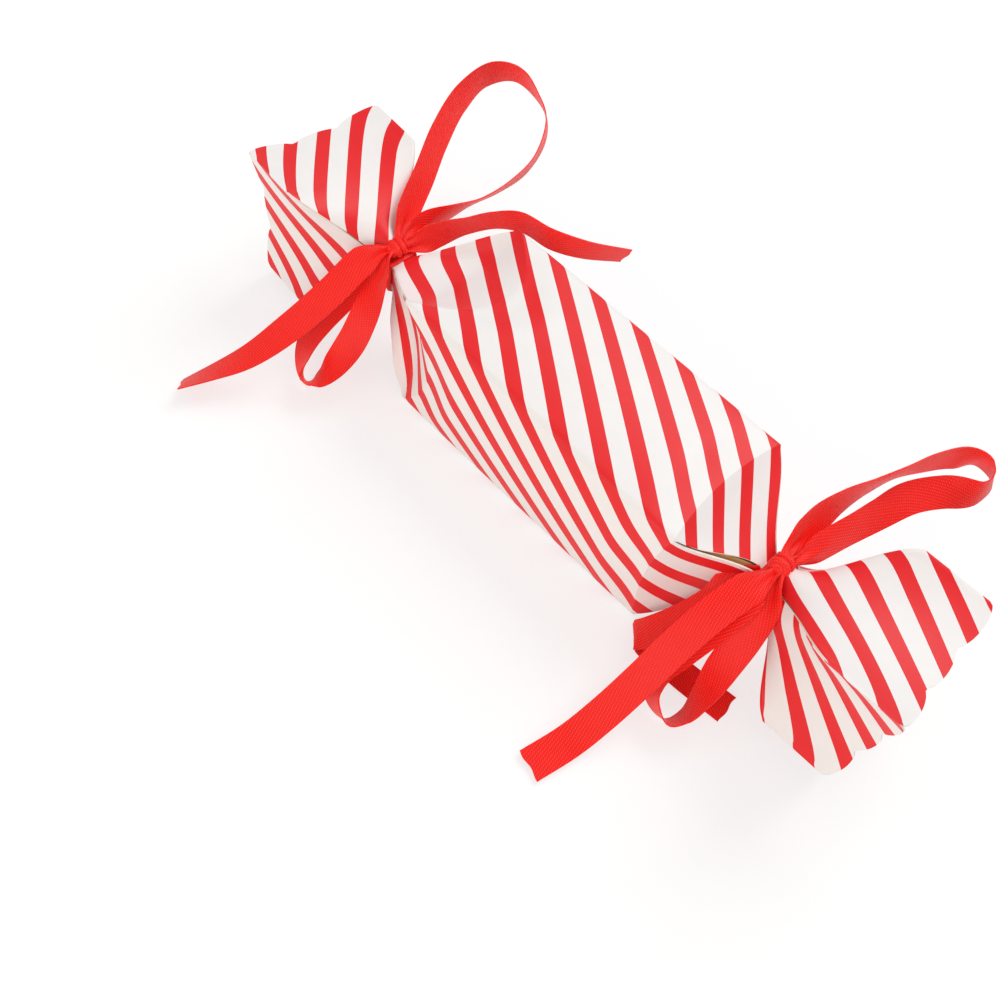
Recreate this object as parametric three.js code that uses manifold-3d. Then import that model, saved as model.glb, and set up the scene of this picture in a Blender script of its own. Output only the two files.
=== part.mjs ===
// Christmas cracker: a four-panel card tube with tied necks, scalloped flares, two ribbon bows,
// a pull-apart snap and two wax melts inside. Millimetres, +Z up, resting on its bottom panel.
import * as THREE from 'three';
import Module from 'manifold-3d';
import { mergeVertices } from 'three/addons/utils/BufferGeometryUtils.js';

const wasm = await Module();
wasm.setup();

// Driving dimensions of the folded card
const panelWidth = 50; // each of the four panels, fold to fold
const bodyLength = 110; // straight body between its end corners
const cardThickness = 0.5;
const taperLength = 24; // along the axis, body corner to tear line
const flareTaper = 25; // along the axis, tear line to the flare's crease
const flareBand = 24; // the flare's full-width end band
const neckHalf = 5.2; // half the side of the gathered neck
const neckFlat = 3.8; // straight stretch each side of the tear line, under the ribbon
const tearGap = 0.3;
const lobesPerPanel = 3;
const lobeDepth = 3; // how far the cusps between two lobes are cut back
const foldSharpness = 0.75; // 1 is a straight facet, 0 a soft S
const flareSharpness = 0.4; // the same for the flares, which open in a softer curve
const panelBow = 2.4; // the curved creases bow the panels outward; the one on the table stays flat
const bowFade = 15; // the bow dies out over this length before the crease

// How each end was folded and tied: reach is what the neck was stretched beyond its cut length, then
// the neck's offset from the middle, the flare's lean and how deep its panels dip between the folds
const leftEnd = {
  side: -1, reach: 1.7, neckY: -5.5, neckZ: 5.9, yaw: 6.2, pitch: 2.2, roll: -0.3, shear: -0.02, dip: 3.7,
  bulge: 18, slot: 0.35,
};
const rightEnd = {
  side: 1, reach: 0, neckY: -1.4, neckZ: 7, yaw: 1.5, pitch: 0.5, roll: -1, shear: -0.05, dip: 5,
  bulge: 3, slot: 2.6,
};
const slotEdgeGap = 0.35; // from a fold line back to a cut edge where a slot is pinched shut
const slotStart = 3; // the cut edges part over this length from the crease
const innerMitre = 0.18; // keeps the insides of two gathered panels apart
const leanLength = 14; // the flare takes up its lean over this length past the tear line

// Ribbon
const ribbonWidth = 10;
const ribbonThickness = 0.4;
const gatheredWidth = 4; // where it goes into the knot
const gatherLength = 12;
const ribbonStep = 3.2; // length of one straight piece of a modelled ribbon
const bowHeight = 30; // the neck's height above the table that the routes were laid for
const wrapWidth = 7; // the turn round the neck
const wrapThickness = 0.6;
const wrapCorner = 0.4; // inside corner radius of the turn
const knotLength = 7.5;
const knotWidth = 8;
const knotHeight = 5;
const clearance = 0.3;

// Snap: two card strips that overlap in a paper sleeve
const stripWidth = 6;
const stripThickness = 0.5;
const stripOverlap = 40;
const stripPastNeck = 14;
const sleeveLength = 24;
const sleeveWall = 0.4;

// Seam tape inside the far panel
const tapeLength = 84;
const tapeWidth = 12;
const tapeThickness = 0.3;
const tapeInset = 3; // from the crease and from the bottom fold

// Wax melts
const figureHeight = 54;
const figureThickness = 12;
const caneLength = 62;
const caneHookWidth = 31;
const caneBar = 12.4;
const caneTip = 6; // straight end of the hook
const figureX = 10; // where the melts lie along the box
const caneX = 12;
const meltEdge = 1.6; // rounding of the moulded edges
const meltRoom = 1.5; // between the figure's hands and the card

const half = panelWidth / 2;
const figureWidth = panelWidth - 2 * (cardThickness + meltRoom);
const neckX = (end) => bodyLength / 2 + taperLength + end.reach;
const flareLength = flareTaper + flareBand;
const radians = Math.PI / 180;

const clamp01 = (x) => Math.min(1, Math.max(0, x));
const smooth = (x) => clamp01(x) ** 2 * (3 - 2 * clamp01(x));
const swell = (x) => (1 - Math.cos(Math.PI * clamp01(x))) / 2;
const ease = (x, sharpness) => sharpness * clamp01(x) + (1 - sharpness) * swell(x);

// Distance of a panel from the axis. along is measured outward from the body's corner, and u runs
// from -1 to 1 across the panel; the middle of a panel starts to fold in before its corners do.
function panelOffset(end, along, u, bow) {
  if (along <= taperLength) {
    const lead = end.bulge * (1 - u * u);
    const run = taperLength - neckFlat + lead;
    const bowed = bow * (1 - u * u) * smooth((-along - lead) / bowFade);
    return half - (half - neckHalf) * ease((along + lead) / run, foldSharpness) + bowed;
  }
  const past = along - taperLength - neckFlat;
  const dipped = end.dip * (1 - u * u) * smooth((along - taperLength) / flareLength);
  return neckHalf + (half - neckHalf) * ease(past / (flareTaper - neckFlat), flareSharpness) - dipped;
}

// Half the width of a panel's strip: full in body and band, cut back along the neck's slots
function stripHalf(end, along) {
  const edge = panelOffset(end, along, 1, 0);
  if (along <= 0 || along >= taperLength + flareTaper) return edge;
  const onBody = along < taperLength;
  const slot = onBody ? end.slot : slotEdgeGap;
  const start = onBody ? along : taperLength + flareTaper - along;
  const wide = smooth(start / slotStart);
  const mouth = Math.sin(Math.PI * clamp01(start / taperLength));
  return edge - slotEdgeGap * wide - (slot - slotEdgeGap) * mouth * wide;
}

const panelNormal = [[0, 1], [-1, 0], [0, -1], [1, 0]]; // top, near, bottom, far, as [y, z]
const panelAcross = [[1, 0], [0, 1], [-1, 0], [0, -1]];
const bowOf = [panelBow, panelBow, 0, panelBow];

// A point of the folded sheet: panel number, outward distance, position across, depth below the print
function foldPoint(end, panel, along, u, depth) {
  const offset = panelOffset(end, along, u, bowOf[panel]) - depth;
  const edge = panelOffset(end, along, 1, 0);
  const mitre = depth > 0 ? innerMitre * Math.min(1, half - edge) : 0;
  const inner = Math.min(stripHalf(end, along), edge - depth - mitre);
  const across = u * inner;
  const [ny, nz] = panelNormal[panel];
  const [ay, az] = panelAcross[panel];
  const y = ny * offset + ay * across;
  const z = nz * offset + az * across;
  const neck = new THREE.Vector3(end.side * neckX(end), end.neckY, half + end.neckZ);
  if (along <= taperLength) {
    const s = smooth(along / (taperLength - neckFlat));
    const x = end.side * (bodyLength / 2 + along * (along > 0 ? 1 + end.reach / taperLength : 1));
    return new THREE.Vector3(x, end.neckY * s + y, half + end.neckZ * s + z);
  }
  const past = along - taperLength;
  const g = smooth(past / leanLength);
  const lean = new THREE.Euler(
    end.roll * g * radians, end.side * end.pitch * g * radians, end.side * end.yaw * g * radians, 'ZYX',
  );
  const shear = end.shear * g;
  return new THREE.Vector3(end.side * past, y + shear * z, z + shear * y).applyEuler(lean).add(neck);
}

// Builds a closed solid from a grid of stations: each station lists four panels of columns, with an
// outer and an inner point; open says between which stations the panels' edges are cut apart.
function sheetSolid(stations, columns, pointAt, isOpen, flip) {
  const positions = [];
  const index = [];
  const stride = 4 * (columns + 1) * 2;
  for (let s = 0; s < stations; s += 1) {
    for (let panel = 0; panel < 4; panel += 1) {
      for (let c = 0; c <= columns; c += 1) {
        for (const depth of [0, cardThickness]) {
          positions.push(...pointAt(s, panel, (2 * c) / columns - 1, depth).toArray());
        }
      }
    }
  }
  const id = (s, panel, c, inner) => s * stride + (panel * (columns + 1) + c) * 2 + inner;
  const quad = (a, b, c, d) => (flip ? index.push(a, c, b, a, d, c) : index.push(a, b, c, a, c, d));
  for (let s = 0; s + 1 < stations; s += 1) {
    for (let panel = 0; panel < 4; panel += 1) {
      for (let c = 0; c < columns; c += 1) {
        quad(id(s, panel, c, 0), id(s + 1, panel, c, 0), id(s + 1, panel, c + 1, 0), id(s, panel, c + 1, 0));
        quad(id(s, panel, c, 1), id(s, panel, c + 1, 1), id(s + 1, panel, c + 1, 1), id(s + 1, panel, c, 1));
      }
      if (isOpen(s)) {
        quad(id(s, panel, 0, 0), id(s, panel, 0, 1), id(s + 1, panel, 0, 1), id(s + 1, panel, 0, 0));
        const e = columns;
        quad(id(s, panel, e, 0), id(s + 1, panel, e, 0), id(s + 1, panel, e, 1), id(s, panel, e, 1));
      }
    }
  }
  const end = stations - 1;
  for (let panel = 0; panel < 4; panel += 1) {
    for (let c = 0; c < columns; c += 1) {
      quad(id(0, panel, c, 0), id(0, panel, c + 1, 0), id(0, panel, c + 1, 1), id(0, panel, c, 1));
      quad(id(end, panel, c, 0), id(end, panel, c, 1), id(end, panel, c + 1, 1), id(end, panel, c + 1, 0));
    }
  }
  const geometry = new THREE.BufferGeometry();
  geometry.setAttribute('position', new THREE.Float32BufferAttribute(positions, 3));
  geometry.setIndex(index);
  return mergeVertices(geometry, 1e-4);
}

// The body: both tapers and the straight tube between them, from tear line to tear line
function bodyGeometry() {
  const taper = taperLength - neckFlat;
  const taperSteps = [0, 0.1, 0.25, 0.45, 0.65, 0.85, 1].map((part) => part * taper);
  taperSteps.push(taperLength - tearGap / 2);
  const stations = [];
  for (const along of [...taperSteps].reverse()) stations.push({ end: leftEnd, along });
  for (const part of [4, 8, 12, 16]) stations.push({ end: leftEnd, along: (-leftEnd.bulge * part) / 16 });
  const fade = (end, part) => stations.push({ end, along: -end.bulge - part * bowFade });
  for (const part of [0.25, 0.5, 0.75, 1]) fade(leftEnd, part);
  stations.push({ end: rightEnd, along: -bodyLength / 2 });
  for (const part of [1, 0.67, 0.33, 0]) fade(rightEnd, part);
  for (const along of taperSteps) stations.push({ end: rightEnd, along });
  const pointAt = (s, panel, u, depth) => foldPoint(stations[s].end, panel, stations[s].along, u, depth);
  const isOpen = (s) => stations[s].along > 0 || stations[s + 1].along > 0;
  return sheetSolid(stations.length, 8, pointAt, isOpen, false);
}

// How far the scalloped rim is cut back at a place across the panel
function rimCut(u) {
  const place = ((u + 1) / 2) * lobesPerPanel;
  const w = 2 * (place - Math.floor(place)) - 1;
  return lobeDepth * (1 - Math.sqrt(Math.max(0, 1 - w * w)));
}

// A flare: its taper from the tear line and the full-width band with the scalloped rim
function flareGeometry(end) {
  const taper = flareTaper - neckFlat;
  const steps = [tearGap / 2, ...[0, 0.15, 0.34, 0.53, 0.72, 0.88].map((part) => neckFlat + part * taper)];
  steps.push(flareTaper, flareTaper + flareBand / 2, flareLength);
  const pointAt = (s, panel, u, depth) => {
    const past = s === steps.length - 1 ? steps[s] - rimCut(u) : steps[s];
    return foldPoint(end, panel, taperLength + past, u, depth);
  };
  const isOpen = (s) => steps[s] < flareTaper;
  return sheetSolid(steps.length, 4 * lobesPerPanel, pointAt, isOpen, end.side < 0);
}

// A ribbon stretch: a flat strip bent along stations of [x, y, z, ax, ay, az], the middle of the
// ribbon from the neck and the direction across it. It is drawn in to the knot at its start, a loop
// at both ends, and below the neck it hangs as deep as the neck is high.
function ribbonGeometry(stations, neck, isLoop) {
  const drop = neck[2] / bowHeight;
  const points = stations.map((s) => new THREE.Vector3(
    neck[0] + s[0], neck[1] + s[1], neck[2] + s[2] * (s[2] < 0 ? drop : 1),
  ));
  const middle = new THREE.CatmullRomCurve3(points, false, 'centripetal');
  const acrossCurve = new THREE.CatmullRomCurve3(stations.map((s) => new THREE.Vector3(s[3], s[4], s[5])));
  const length = middle.getLength();
  const steps = Math.round(length / ribbonStep);
  const geometry = new THREE.BoxGeometry(1, 1, 1, 2, 1, steps);
  geometry.deleteAttribute('normal');
  geometry.deleteAttribute('uv');
  const position = geometry.attributes.position;
  const point = new THREE.Vector3();
  for (let i = 0; i < position.count; i += 1) {
    const t = clamp01(position.getZ(i) + 0.5);
    const centre = middle.getPoint(t);
    const tangent = middle.getTangent(t);
    const across = acrossCurve.getPoint(t);
    across.addScaledVector(tangent, -across.dot(tangent)).normalize();
    const normal = new THREE.Vector3().crossVectors(tangent, across);
    const toKnot = (isLoop ? Math.min(t, 1 - t) : t) * length;
    const width = gatheredWidth + (ribbonWidth - gatheredWidth) * smooth(toKnot / gatherLength);
    point.copy(centre).addScaledVector(across, position.getX(i) * width);
    point.addScaledVector(normal, position.getY(i) * ribbonThickness);
    position.setXYZ(i, point.x, point.y, point.z);
  }
  return mergeVertices(geometry, 1e-4);
}

// The ribbon's turn round the neck: a band with rounded corners, its length along the axis
function wrapGeometry() {
  const inside = neckHalf + clearance;
  const outline = (size, corner) => {
    const shape = new THREE.Path();
    shape.moveTo(-size + corner, -size);
    shape.lineTo(size - corner, -size);
    shape.absarc(size - corner, -size + corner, corner, -Math.PI / 2, 0);
    shape.lineTo(size, size - corner);
    shape.absarc(size - corner, size - corner, corner, 0, Math.PI / 2);
    shape.lineTo(-size + corner, size);
    shape.absarc(-size + corner, size - corner, corner, Math.PI / 2, Math.PI);
    shape.lineTo(-size, -size + corner);
    shape.absarc(-size + corner, -size + corner, corner, Math.PI, Math.PI * 1.5);
    return shape.getPoints(4);
  };
  const band = new THREE.Shape(outline(inside + wrapThickness, wrapCorner + wrapThickness));
  band.holes.push(new THREE.Path(outline(inside, wrapCorner)));
  const geometry = new THREE.ExtrudeGeometry(band, { depth: wrapWidth, bevelEnabled: false });
  geometry.translate(0, 0, -wrapWidth / 2);
  geometry.rotateY(Math.PI / 2);
  return geometry;
}

// A knot pulled tight on top of the turn
function knotGeometry() {
  const geometry = new THREE.SphereGeometry(0.5, 14, 10);
  geometry.rotateX(Math.PI / 2);
  geometry.scale(knotLength, knotWidth, knotHeight);
  return geometry;
}

const toManifold = (geometry) => {
  const plain = geometry.clone();
  plain.deleteAttribute('normal');
  plain.deleteAttribute('uv');
  const merged = mergeVertices(plain, 1e-4);
  const vertProperties = Float32Array.from(merged.attributes.position.array);
  const triVerts = Uint32Array.from(merged.index.array);
  return new wasm.Manifold(new wasm.Mesh({ numProp: 3, vertProperties, triVerts }));
};

const fromManifold = (solid) => {
  const mesh = solid.getMesh();
  const geometry = new THREE.BufferGeometry();
  geometry.setAttribute('position', new THREE.Float32BufferAttribute(mesh.vertProperties, 3));
  geometry.setIndex([...mesh.triVerts]);
  return geometry;
};

// A flat moulded slab of a closed outline, with its upper and lower edges eased
function mouldedSlab(shape, thickness, segments) {
  return new THREE.ExtrudeGeometry(shape, {
    depth: thickness - 2 * meltEdge, bevelEnabled: true, bevelThickness: meltEdge, bevelSize: meltEdge,
    bevelOffset: -meltEdge, bevelSegments: 2, curveSegments: segments,
  }).translate(0, 0, meltEdge);
}

const roundedBar = (from, to, radius) => {
  const direction = Math.atan2(to[1] - from[1], to[0] - from[0]);
  const shape = new THREE.Shape();
  shape.absarc(from[0], from[1], radius, direction + Math.PI / 2, direction + Math.PI * 1.5);
  shape.absarc(to[0], to[1], radius, direction - Math.PI / 2, direction + Math.PI / 2);
  shape.closePath();
  return shape;
};

// Gingerbread figure lying on its back: head, trunk, arms and legs as one moulding
function figureGeometry() {
  const headRadius = figureHeight * 0.235;
  const limb = figureHeight * 0.115;
  const headY = figureHeight / 2 - headRadius;
  const armY = headY - headRadius - limb * 0.55;
  const hipY = -figureHeight / 2 + limb * 2.2;
  const head = new THREE.Shape().absarc(0, headY, headRadius, 0, Math.PI * 2);
  const arms = roundedBar([-figureWidth / 2 + limb, armY], [figureWidth / 2 - limb, armY], limb);
  const trunk = roundedBar([0, armY - limb * 0.4], [0, hipY + limb * 0.9], limb * 1.5);
  const leg = (side) => roundedBar(
    [side * limb * 0.7, hipY + limb * 0.6], [side * figureWidth * 0.27, -figureHeight / 2 + limb], limb,
  );
  const outlines = [head, arms, trunk, leg(-1), leg(1)];
  const parts = outlines.map((shape) => toManifold(mouldedSlab(shape, figureThickness, 7)));
  return fromManifold(parts.reduce((sum, part) => sum.add(part)));
}

// Candy cane lying on its side: a round bar bent into a hook, flat ends
function caneGeometry() {
  const bend = (caneHookWidth - caneBar) / 2;
  const path = new THREE.CurvePath();
  const top = caneLength - caneBar / 2 - bend;
  const at = (x, y) => new THREE.Vector3(x, y, 0);
  const line = (x, from, to) => new THREE.LineCurve3(at(x, from), at(x, to));
  path.add(line(0, 0, top));
  const arc = [];
  for (let i = 0; i <= 8; i += 1) {
    const angle = Math.PI - (Math.PI * i) / 8;
    arc.push(new THREE.Vector3(bend + bend * Math.cos(angle), top + bend * Math.sin(angle), 0));
  }
  path.add(new THREE.CatmullRomCurve3(arc));
  path.add(line(2 * bend, top, top - caneTip));
  const section = new THREE.Shape().absarc(0, 0, caneBar / 2, 0, Math.PI * 2);
  return new THREE.ExtrudeGeometry(section, {
    steps: 18, curveSegments: 6, extrudePath: path,
  }).translate(-bend, -caneLength / 2 + caneBar / 4, 0);
}

// Seam tape along the far panel's lower edge, inside, following the panel's bow
function tapeGeometry() {
  const geometry = new THREE.BoxGeometry(tapeLength, tapeThickness, tapeWidth, 14, 1, 4);
  const middle = bodyLength / 2 - tapeLength / 2 - rightEnd.bulge - tapeInset;
  const position = geometry.attributes.position;
  for (let i = 0; i < position.count; i += 1) {
    const x = position.getX(i) + middle;
    const z = position.getZ(i) + tapeInset + tapeWidth / 2;
    const end = x < 0 ? leftEnd : rightEnd;
    const inside = panelOffset(end, Math.abs(x) - bodyLength / 2, (half - z) / half, panelBow);
    const seat = inside - cardThickness - clearance - tapeThickness / 2;
    position.setXYZ(i, x, position.getY(i) + seat, z);
  }
  return geometry;
}

// A flat strip of card along the pull line, from one end to the other
const stripGeometry = (length) => new THREE.BoxGeometry(length, stripWidth, stripThickness, 4, 1, 1);

// The paper sleeve round both strips
function sleeveGeometry() {
  const wide = stripWidth / 2 + clearance;
  const high = stripThickness + clearance * 1.5;
  const box = (h, w) => [[-h, -w], [h, -w], [h, w], [-h, w]].map(([x, y]) => new THREE.Vector2(x, y));
  const outer = new THREE.Shape(box(high + sleeveWall, wide + sleeveWall));
  outer.holes.push(new THREE.Path(box(high, wide)));
  const geometry = new THREE.ExtrudeGeometry(outer, { depth: sleeveLength, bevelEnabled: false });
  return geometry.translate(0, 0, -sleeveLength / 2).rotateY(Math.PI / 2);
}

// The ribbons' routes, measured from the middle of each neck. Each bow is one length of ribbon,
// in the stretches that show.
const leftBow = {
  big_loop: [
    [-3.6, 4.6, 9.6, 0.38, 0.36, -0.83], [-8.5, 12.7, 12.8, 0.39, 0.51, -0.77],
    [-14.4, 24.4, 16.1, 0.41, 0.44, -0.8], [-23.5, 39.8, 19.1, 0.42, 0.34, -0.84],
    [-31.9, 57.8, 21.1, 0.3, 0.18, -0.94], [-34.4, 73.9, 22.1, -0.05, -0.03, -1],
    [-29, 84.3, 20.1, -0.37, 0.28, -0.89], [-15.5, 82.9, 17.1, -0.03, 0.46, -0.89],
    [-6.2, 75.9, 15.1, -0.02, 0.21, -0.98], [1.1, 61, 12.1, -0.28, 0.08, -0.96],
    [2.3, 47.1, 10.6, -0.48, 0.1, -0.87], [1.4, 35.6, 10.1, -0.58, 0.12, -0.81],
    [-0.2, 24.2, 9.8, -0.3, 0.04, -0.95], [-1.3, 13.8, 10.2, 0.1, 0.01, -0.99],
    [-1, 4.2, 10.1, 0.25, 0.01, -0.97],
  ],
  small_loop: [
    [0.8, -5.1, 8.2, -0.8, -0.15, -0.5], [3.8, -11.2, 3.9, -0.88, -0.08, -0.46],
    [7.3, -20.4, -3.6, -0.97, -0.25, 0.06], [8.5, -26.9, -10.6, -0.93, -0.28, 0.24],
    [8.5, -34, -16.4, -1, 0.08, 0.05], [6.9, -39.7, -21.3, -0.78, 0.54, -0.31],
    [4, -43.4, -22.7, -0.33, 0.45, -0.83], [-1.3, -40.9, -21.7, -0.51, -0.11, -0.85],
    [-5.2, -35.8, -18.3, -0.92, -0.05, -0.39], [-6, -28.8, -13.5, -0.99, 0.13, -0.07],
    [-4.9, -18.3, -5.8, -0.99, 0.11, 0.1], [-1.9, -6.9, 6.2, -0.99, 0.1, 0.09],
  ],
  long_tail: [
    [-1.6, -5.4, 9.8, -0.95, 0.03, 0.31], [-3, -12, 8.3, -0.94, 0.02, 0.35],
    [-3.8, -25.9, 1.2, -0.94, 0.02, 0.35], [-6.9, -40.5, -7.7, -0.95, 0.12, 0.3],
    [-12, -53.7, -16.4, -0.91, 0.42, 0.04], [-18.1, -64.3, -22.2, -0.78, 0.55, -0.29],
    [-23.4, -75.3, -25.9, -0.62, 0.53, -0.57],
  ],
  short_tail: [
    [1.4, 4.4, 8.4, 0.45, -0.11, -0.8], [3.9, 15.6, 8.7, 0.19, 0.05, -0.98],
    [7.1, 25, 9.2, -0.1, 0.24, -0.96], [12.5, 32.9, 11.1, -0.01, 0.34, -0.94],
    [20.3, 37.7, 13.1, 0.08, 0.18, -0.98], [32.5, 39.3, 14.1, -0.04, 0.09, -1],
    [42.4, 45.7, 13.1, -0.25, 0.05, -0.97], [51.6, 57.8, 10.1, -0.41, 0.09, -0.91],
  ],
};
const rightBow = {
  big_loop: [
    [-1.4, 4.6, 9.1, 0.6, 0.2, -0.76], [-1.9, 16.5, 12, 0.65, 0.22, -0.73],
    [-0.4, 27.1, 14.2, 0.35, 0.17, -0.92], [2.3, 35.9, 16, 0.05, 0.2, -0.98],
    [5.6, 45.3, 18, -0.09, 0.19, -0.98], [9.7, 54.6, 19, 0.04, 0.04, -1],
    [14.8, 63.4, 19, 0.04, -0.13, -0.99], [21.1, 69.1, 17.5, -0.16, 0.35, -0.86],
    [25.9, 67.5, 16, 0.2, 0.47, -0.86], [25.7, 61.7, 14.5, 0.29, 0.05, -0.95],
    [18.4, 55, 13, 0.68, -0.48, -0.55], [12.4, 45.7, 12, 0.85, -0.33, -0.41],
    [9.2, 34, 11, 0.73, -0.13, -0.67], [6.5, 22.5, 10.5, 0.6, -0.09, -0.79],
    [2.2, 4.7, 9.4, 0.6, -0.07, -0.8],
  ],
  small_loop: [
    [1.9, -4.9, 7.5, -0.92, 0.1, -0.39], [4.4, -11.1, 3.1, -0.99, -0.07, -0.1],
    [6.2, -18.5, -3.3, -0.99, -0.06, -0.1], [7.2, -25.9, -11.4, -0.98, 0.07, -0.21],
    [8.4, -33.1, -18.1, -0.74, 0.4, -0.55], [8.8, -39.4, -22.5, -0.43, 0.46, -0.77],
    [6.5, -44.1, -23.8, -0.25, 0.46, -0.85], [0.8, -43.8, -22.9, -0.3, 0.22, -0.93],
    [-3.4, -41, -20.9, -0.67, 0.24, -0.7], [-4.9, -36.3, -17.1, -0.82, 0.4, -0.42],
    [-3.7, -30.2, -11.9, -0.87, 0.41, -0.27], [-1.2, -19.3, -1.8, -0.89, 0.33, -0.32],
    [-0.6, -7.6, 6.4, -0.98, 0.12, -0.12],
  ],
  long_tail: [
    [-0.6, -4.5, 9.2, -0.95, 0.2, -0.2], [-2.3, -12.9, 7.4, -0.97, 0.23, -0.08],
    [-4.4, -23.2, 1.8, -0.99, 0.13, 0.05], [-5.8, -33.9, -5.7, -0.99, 0.03, 0.1],
    [-6.7, -45.2, -14.3, -1, 0.02, 0.1], [-7.8, -56.7, -21.4, -0.99, 0.06, 0.11],
    [-9.5, -68.3, -26.7, -0.98, 0.15, 0.14], [-12.6, -82, -28.6, -0.97, 0.21, 0.07],
  ],
  short_tail: [
    [-6.4, -9.4, 2.7, -0.93, 0.3, 0.1], [-7.6, -16.2, -4.6, -0.77, 0.64, 0.05],
    [-11.6, -23.1, -14.1, -0.7, 0.71, 0.1], [-16.1, -28.6, -21.9, -0.73, 0.68, 0.08],
    [-18.6, -30.1, -26.1, -0.6, 0.68, -0.33], [-12.2, -27.9, -28.4, -0.15, 0.99, -0.02],
    [0.5, -26.7, -29.3, -0.11, 0.99, 0.02], [16.4, -24.9, -29.3, -0.09, 0.99, 0.02],
  ],
};

const card = (color) => new THREE.MeshStandardMaterial({ color, roughness: 0.45, metalness: 0 });
const ribbonRed = () => new THREE.MeshStandardMaterial({ color: 0xf5231c, roughness: 0.5, metalness: 0 });
const paper = (color) => new THREE.MeshStandardMaterial({ color, roughness: 0.85, metalness: 0 });
const wax = (color) => new THREE.MeshStandardMaterial({ color, roughness: 0.4, metalness: 0 });

const cracker = new THREE.Group();
function add(name, geometry, material, place = [0, 0, 0]) {
  const mesh = new THREE.Mesh(geometry, material);
  mesh.name = name;
  mesh.position.set(...place);
  cracker.add(mesh);
  return mesh;
}

add('wrapper_body', bodyGeometry(), card(0xf6f2ee));
add('wrapper_left_end', flareGeometry(leftEnd), card(0xf6f2ee));
add('wrapper_right_end', flareGeometry(rightEnd), card(0xf6f2ee));

add('seam_tape', tapeGeometry(), paper(0xc9a468));

// Each end's ribbon: the turn round the neck, the knot on top of it, two loops and two tails
const knotRise = neckHalf + clearance + wrapThickness + clearance + knotHeight / 2;
for (const [word, end, bow] of [['left', leftEnd, leftBow], ['right', rightEnd, rightBow]]) {
  const at = [end.side * neckX(end), end.neckY, half + end.neckZ];
  add(`${word}_ribbon_turn`, wrapGeometry(), ribbonRed(), at);
  add(`${word}_knot`, knotGeometry(), ribbonRed(), [at[0], at[1], at[2] + knotRise]);
  for (const [stretch, stations] of Object.entries(bow)) {
    add(`${word}_${stretch}`, ribbonGeometry(stations, at, stretch.endsWith('loop')), ribbonRed());
  }
}

// The snap lies on the line from neck to neck, against the top of the left neck
const neckOf = (end) => new THREE.Vector3(end.side * neckX(end), end.neckY, half + end.neckZ);
const pullLine = neckOf(rightEnd).sub(neckOf(leftEnd)).normalize();
const midway = neckOf(leftEnd).lerp(neckOf(rightEnd), 0.5);
const upperLayer = neckHalf - cardThickness - clearance - stripThickness / 2;
const lowerLayer = upperLayer - stripThickness - clearance;
const stripLength = (neckX(leftEnd) + neckX(rightEnd) + stripOverlap) / 2 + stripPastNeck;
const snap = new THREE.Group();
snap.position.copy(midway);
snap.quaternion.setFromUnitVectors(new THREE.Vector3(1, 0, 0), pullLine);
cracker.add(snap);
function addSnap(name, geometry, colour, x, z) {
  const mesh = new THREE.Mesh(geometry, paper(colour));
  mesh.name = name;
  mesh.position.set(x, 0, z);
  snap.add(mesh);
}
const stripX = stripLength / 2 - stripOverlap / 2;
addSnap('snap_strip_left', stripGeometry(stripLength), 0xcfc6b4, -stripX, upperLayer);
addSnap('snap_strip_right', stripGeometry(stripLength), 0xcfc6b4, stripX, lowerLayer);
addSnap('snap_sleeve', sleeveGeometry(), 0xb9ad98, 0, (upperLayer + lowerLayer) / 2);

// The melts lie in the box, the cane on the figure
const figure = figureGeometry();
figure.rotateZ(Math.PI / 2);
add('gingerbread_melt', figure, wax(0xb98a4c), [figureX, 0, cardThickness + clearance]);
const cane = caneGeometry();
cane.rotateZ(Math.PI / 2);
const caneZ = cardThickness + clearance + figureThickness + clearance + caneBar / 2;
add('candy_cane_melt', cane, wax(0xb5303a), [caneX, 0, caneZ]);

export default cracker;
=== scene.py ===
# Christmas cracker: striped card wrapper, two ribbon bows, snap and wax melts, dressed on its frame.
import math

import bpy
import numpy as np
from mathutils import Matrix, Vector


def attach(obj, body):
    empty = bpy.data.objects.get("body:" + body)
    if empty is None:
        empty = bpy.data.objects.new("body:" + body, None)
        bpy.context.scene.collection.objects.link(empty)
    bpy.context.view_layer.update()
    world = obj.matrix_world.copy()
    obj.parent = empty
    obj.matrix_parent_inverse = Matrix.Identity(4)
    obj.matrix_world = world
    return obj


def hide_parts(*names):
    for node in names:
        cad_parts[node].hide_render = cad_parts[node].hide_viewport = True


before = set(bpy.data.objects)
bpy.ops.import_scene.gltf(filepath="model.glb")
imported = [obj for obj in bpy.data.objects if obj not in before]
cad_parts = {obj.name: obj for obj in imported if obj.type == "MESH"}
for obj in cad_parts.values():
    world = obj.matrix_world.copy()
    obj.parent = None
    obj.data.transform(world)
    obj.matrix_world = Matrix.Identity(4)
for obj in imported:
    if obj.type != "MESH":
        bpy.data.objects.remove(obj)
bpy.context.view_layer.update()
print("frame loaded:", len(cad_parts), "nodes")

scene = bpy.context.scene


def hexColour(text):  # sRGB hex to linear
    values = []
    for i in (0, 2, 4):
        c = int(text[i:i + 2], 16) / 255
        values.append(c / 12.92 if c <= 0.04045 else ((c + 0.055) / 1.055) ** 2.4)
    return (*values, 1.0)


def clamp(x):
    return min(1.0, max(0.0, x))


def smooth(x):
    x = clamp(x)
    return x * x * (3 - 2 * x)


def deselectAll():
    bpy.ops.object.select_all(action="DESELECT")


def makeActive(piece):
    deselectAll()
    piece.select_set(True)
    bpy.context.view_layer.objects.active = piece


def applyAll(piece):
    makeActive(piece)
    for modifier in list(piece.modifiers):
        bpy.ops.object.modifier_apply(modifier=modifier.name)


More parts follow.
